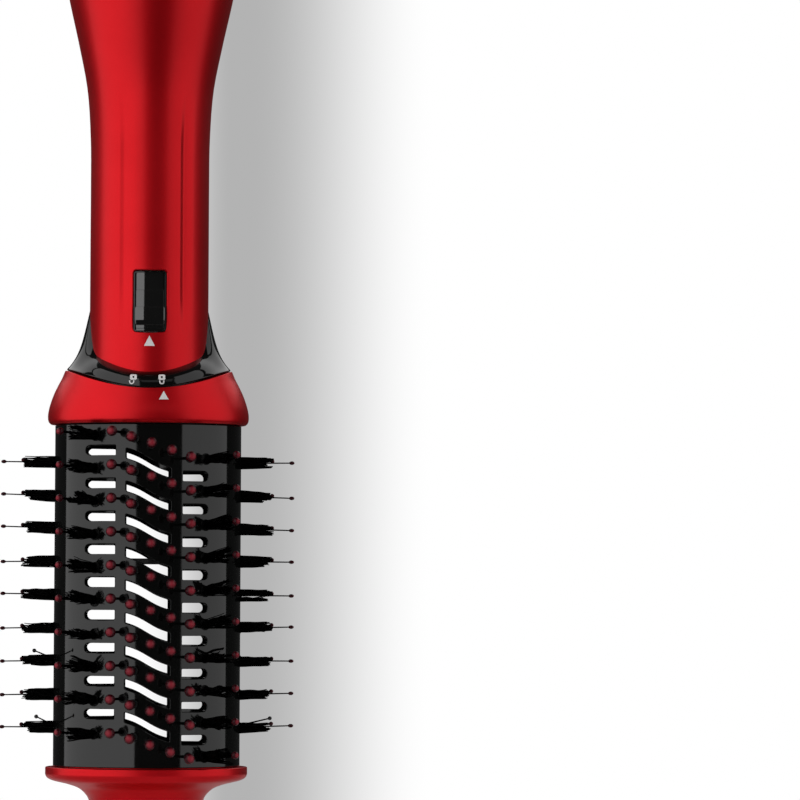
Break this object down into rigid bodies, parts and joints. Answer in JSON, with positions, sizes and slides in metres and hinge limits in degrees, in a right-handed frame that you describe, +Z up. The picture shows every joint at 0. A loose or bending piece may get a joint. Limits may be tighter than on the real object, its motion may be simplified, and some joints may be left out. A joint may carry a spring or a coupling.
{
  "type": "hot-air styling brush",
  "caption": "Oval slotted barrel with rows of ball-tipped pins and bristle tufts, locked by a twist onto a flared hot-air handle with a release slider.",
  "frame": {"origin": "centre of the cool tip's end face, the lowest point of the upright brush", "axes": "+Z up the barrel and handle to the cord end, -Y out of the front with the release slider, +X to the right seen from the front"},
  "size_m": [0.096, 0.077, 0.358],
  "materials": {
    "red_paint": "metallic satin lacquer over moulded plastic",
    "gloss_black": "polished black plastic",
    "satin_black": "satin black plastic",
    "nylon_bristle": "black nylon with red ball tips",
    "steel": "brushed steel",
    "mica": "mica sheet",
    "brass": "plain brass",
    "board": "green circuit board",
    "filter_mesh": "fine black mesh",
    "rubber": "soft black rubber"
  },
  "bodies": {
    "handle": {"handle_front_shell": "red_paint", "handle_rear_shell": "red_paint", "outlet_collar": "gloss_black", "seat_ring": "satin_black", "outlet_nozzle": "steel", "nozzle_grille": "satin_black", "slider_bezel": "satin_black", "heat_shield": "mica", "heater_frame": "mica", "heater_coil": "steel", "thermostat": "brass", "thermal_fuse": "brass", "circuit_board": "board", "motor_can": "steel", "motor_mount": "satin_black", "fan_shroud": "satin_black", "inlet_grille": "satin_black", "lint_filter": "filter_mesh", "end_cap": "gloss_black", "rotary_switch": "satin_black", "wire_clamp": "satin_black", "case_screw_left": "steel", "case_screw_right": "steel", "release_spring": "steel"},
    "head_seat": {"socket_gasket": "rubber"},
    "brush_head": {"barrel": "gloss_black", "tip_cap": "red_paint", "head_collar": "red_paint", "head_socket": "satin_black", "inner_baffle": "satin_black", "tie_rod_left": "steel", "tie_rod_right": "steel", "bristle_cage_front": "nylon_bristle", "bristle_cage_back": "nylon_bristle", "bristle_strip_left": "nylon_bristle", "bristle_strip_right": "nylon_bristle"},
    "release_slider": {"release_slider": "gloss_black", "latch_bolt": "steel"},
    "control_dial": {"control_dial": "gloss_black"},
    "rotor": {"motor_shaft": "steel", "fan_impeller": "satin_black"},
    "cord_swivel": {"cord_swivel": "rubber"}
  },
  "joints": [
    {"name": "head_pull", "type": "slide", "parent": "handle", "child": "head_seat", "axis": [0, 0, -1], "range_m": [0, 0.014]},
    {"name": "head_twist", "type": "hinge", "parent": "head_seat", "child": "brush_head", "pos_m": [0, 0, 0.145], "axis": [0, 0, -1], "range_deg": [0, 23]},
    {"name": "slider_travel", "type": "slide", "parent": "handle", "child": "release_slider", "axis": [0, 0, 1], "range_m": [0, 0.005], "stiffness_N_per_m": 200, "springref_m": -0.004, "deforming": ["release_spring"]},
    {"name": "dial_turn", "type": "hinge", "parent": "handle", "child": "control_dial", "pos_m": [0, 0, 0.3436], "axis": [0, 0, 1], "range_deg": [0, 120]},
    {"name": "fan_spin", "type": "hinge", "parent": "handle", "child": "rotor", "pos_m": [0, 0, 0.303], "axis": [0, 0, 1], "continuous": true},
    {"name": "cord_turn", "type": "hinge", "parent": "handle", "child": "cord_swivel", "pos_m": [0, 0, 0.35], "axis": [0, 0, 1], "continuous": true}
  ],
  "couplings": [
    {"joint": "head_twist", "follows": "head_pull", "rad_per_m": 28.6}
  ]
}
